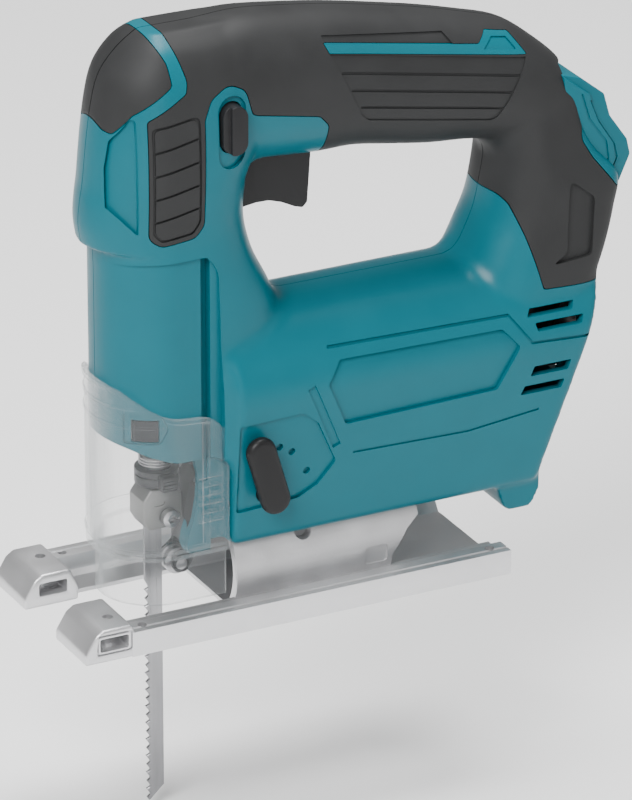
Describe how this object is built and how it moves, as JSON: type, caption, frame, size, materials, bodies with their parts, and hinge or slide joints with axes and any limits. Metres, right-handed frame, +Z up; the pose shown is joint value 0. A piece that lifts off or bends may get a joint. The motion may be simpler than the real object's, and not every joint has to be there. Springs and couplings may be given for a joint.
{
  "type": "jigsaw power tool",
  "caption": "Cordless jigsaw with a loop grip over a motor barrel, an upright plunger column, a clear chip guard, a narrow toothed blade and a tilting cast shoe.",
  "frame": {"origin": "middle of the shoe's sole, at the centre of its length and width", "axes": "+X towards the battery seat at the rear, the blade is towards -X; +Y towards the tool's right side; +Z up"},
  "size_m": [0.2271, 0.076, 0.2982],
  "materials": {
    "housing_plastic": "satin moulded plastic with a fine texture",
    "soft_grip": "matt moulded rubber",
    "black_plastic": "satin moulded plastic",
    "dark_control": "satin moulded plastic",
    "cast_shoe": "die-cast, lightly blasted",
    "cast_inner": "die-cast",
    "machined_steel": "machined",
    "motor_steel": "zinc plated",
    "screw_steel": "black oxide",
    "blade_steel": "ground and set",
    "clear_guard": "clear polycarbonate",
    "lamp_lens": "smoked clear plastic",
    "circuit_board": "coated board",
    "motor_windings": "laminated steel and enamelled copper",
    "carbon": "pressed carbon",
    "magnet": "sintered ferrite",
    "terminal_brass": "nickel-plated brass",
    "red_lead": "insulated wire",
    "black_lead": "insulated wire"
  },
  "bodies": {
    "housing": {"arm_pin": "machined_steel", "battery_seat": "black_plastic", "battery_terminal_1": "terminal_brass", "battery_terminal_2": "terminal_brass", "battery_terminal_3": "terminal_brass", "brush_left": "carbon", "brush_right": "carbon", "gear_bearing": "machined_steel", "gear_plate": "cast_inner", "grip_left": "soft_grip", "grip_right": "soft_grip", "guide_pin": "machined_steel", "housing_left": "housing_plastic", "housing_right": "housing_plastic", "housing_screw_foot": "screw_steel", "housing_screw_gear": "screw_steel", "housing_screw_grip_rear": "screw_steel", "housing_screw_leg": "screw_steel", "housing_screw_nose": "screw_steel", "housing_screw_top": "screw_steel", "lamp_board": "circuit_board", "lamp_lens": "lamp_lens", "lead_black": "black_lead", "lead_red": "red_lead", "magnet_left": "magnet", "magnet_right": "magnet", "motor_bearing_front": "machined_steel", "motor_bearing_rear": "machined_steel", "motor_can": "motor_steel", "motor_end_cap": "black_plastic", "nose_cap": "soft_grip", "rear_cap": "housing_plastic", "shoe_bolt": "machined_steel", "shoe_nut_plate": "machined_steel", "speed_controller": "black_plastic", "switch_body": "black_plastic", "trigger_pin": "machined_steel"},
    "armature": {"armature": "motor_windings", "motor_pinion": "machined_steel", "cooling_fan": "black_plastic"},
    "crank": {"crank_gear": "machined_steel", "gear_shaft": "machined_steel", "crank_pin": "machined_steel"},
    "guide": {"plunger_guide": "cast_inner"},
    "plunger": {"plunger_rod": "machined_steel", "yoke": "machined_steel", "clamp_body": "machined_steel", "clamp_screw": "machined_steel", "clamp_spring": "machined_steel", "blade": "blade_steel"},
    "sleeve": {"clamp_sleeve": "machined_steel"},
    "arm": {"roller_arm": "machined_steel", "roller_pin": "machined_steel"},
    "roller": {"blade_roller": "machined_steel"},
    "orbit": {"orbit_lever": "dark_control", "orbit_cam": "machined_steel"},
    "guard": {"chip_guard": "clear_guard"},
    "shoe": {"shoe": "cast_shoe"},
    "trigger": {"trigger": "dark_control"},
    "lock": {"lock_button": "black_plastic"}
  },
  "joints": [
    {"name": "motor_spin", "type": "hinge", "parent": "housing", "child": "armature", "pos_m": [0.05, 0, 0.07875], "axis": [1, 0, 0], "range_deg": [-360, 360]},
    {"name": "crank_turn", "type": "hinge", "parent": "housing", "child": "crank", "pos_m": [-0.013, 0, 0.1], "axis": [1, 0, 0], "range_deg": [-90, 90]},
    {"name": "guide_swing", "type": "hinge", "parent": "housing", "child": "guide", "pos_m": [-0.038, 0, 0.16], "axis": [0, 1, 0], "range_deg": [0, 0.65]},
    {"name": "plunger_stroke", "type": "slide", "parent": "guide", "child": "plunger", "axis": [0, 0, 1], "range_m": [-0.009, 0.009]},
    {"name": "sleeve_turn", "type": "hinge", "parent": "plunger", "child": "sleeve", "pos_m": [-0.038, 0, 0.05], "axis": [0, 0, 1], "range_deg": [0, 35], "stiffness_Nm_per_rad": 0.02, "springref_deg": -22.92},
    {"name": "arm_swing", "type": "hinge", "parent": "housing", "child": "arm", "pos_m": [-0.0245, 0, 0.046], "axis": [0, 1, 0], "range_deg": [0, 3]},
    {"name": "roller_spin", "type": "hinge", "parent": "arm", "child": "roller", "pos_m": [-0.0312, 0, 0.015], "axis": [0, 1, 0], "continuous": true},
    {"name": "orbit_turn", "type": "hinge", "parent": "housing", "child": "orbit", "pos_m": [-0.007, 0, 0.046], "axis": [0, 1, 0], "range_deg": [0, 90]},
    {"name": "guard_slide", "type": "slide", "parent": "housing", "child": "guard", "axis": [0, 0, 1], "range_m": [0, 0.0345]},
    {"name": "shoe_tilt", "type": "hinge", "parent": "housing", "child": "shoe", "pos_m": [0, 0, 0.014], "axis": [1, 0, 0], "range_deg": [-45, 45]},
    {"name": "trigger_pull", "type": "hinge", "parent": "housing", "child": "trigger", "pos_m": [-0.002, 0, 0.173], "axis": [0, -1, 0], "range_deg": [0, 10], "stiffness_Nm_per_rad": 0.6, "springref_deg": -14.32},
    {"name": "lock_slide", "type": "slide", "parent": "housing", "child": "lock", "axis": [0, 1, 0], "range_m": [0, 0.005]}
  ],
  "couplings": [
    {"joint": "crank_turn", "follows": "motor_spin", "ratio": -0.25},
    {"joint": "plunger_stroke", "follows": "motor_spin", "m_per_rad": -0.0014324},
    {"joint": "guide_swing", "follows": "arm_swing", "ratio": 0.2138}
  ]
}
